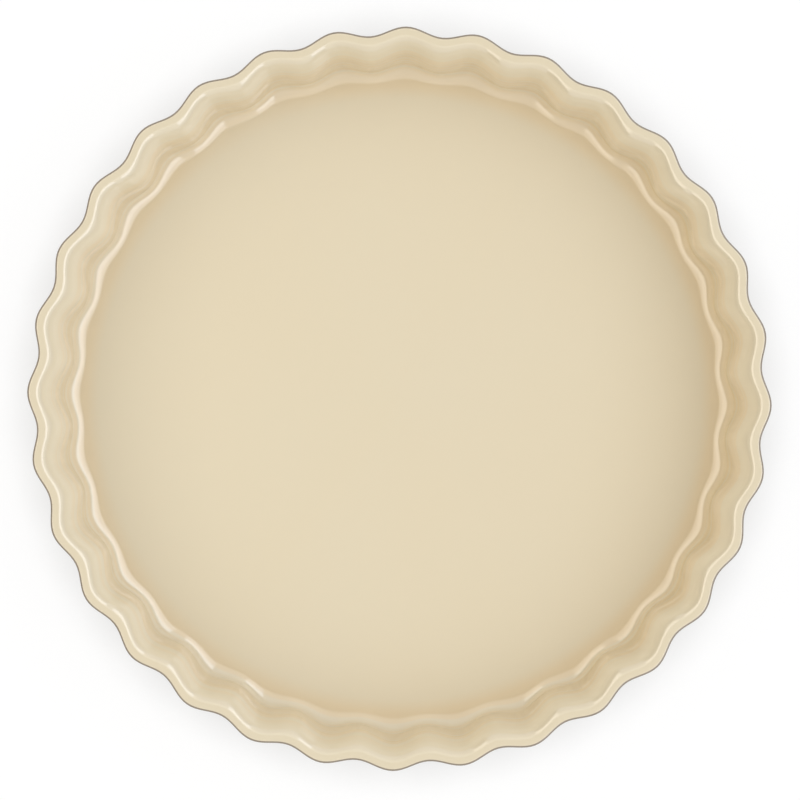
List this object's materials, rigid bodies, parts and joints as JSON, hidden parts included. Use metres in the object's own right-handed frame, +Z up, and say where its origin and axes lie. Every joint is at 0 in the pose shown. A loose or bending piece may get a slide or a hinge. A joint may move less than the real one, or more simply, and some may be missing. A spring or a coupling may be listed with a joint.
{
  "type": "pie dish",
  "caption": "Round shallow stoneware pie dish with a fluted wall and a narrow rolled lip, glazed cream inside and out, standing on a bare foot ring.",
  "frame": {"origin": "on the dish's axis, in the plane that its foot ring stands on", "axes": "+Z up along the dish's axis, out of its mouth; +X through the crest of one flute, and the flutes repeat all the way round"},
  "size_m": [0.28, 0.28, 0.039],
  "materials": {
    "stoneware": "fired clay, matte and slightly gritty",
    "inside_glaze": "glossy cream glaze",
    "outside_glaze": "glossy cream glaze",
    "base_glaze": "thin satin cream glaze"
  },
  "bodies": {
    "root": {"stoneware_body": "stoneware", "interior_glaze": "inside_glaze", "exterior_glaze": "outside_glaze", "underside_glaze": "base_glaze"}
  },
  "joints": []
}
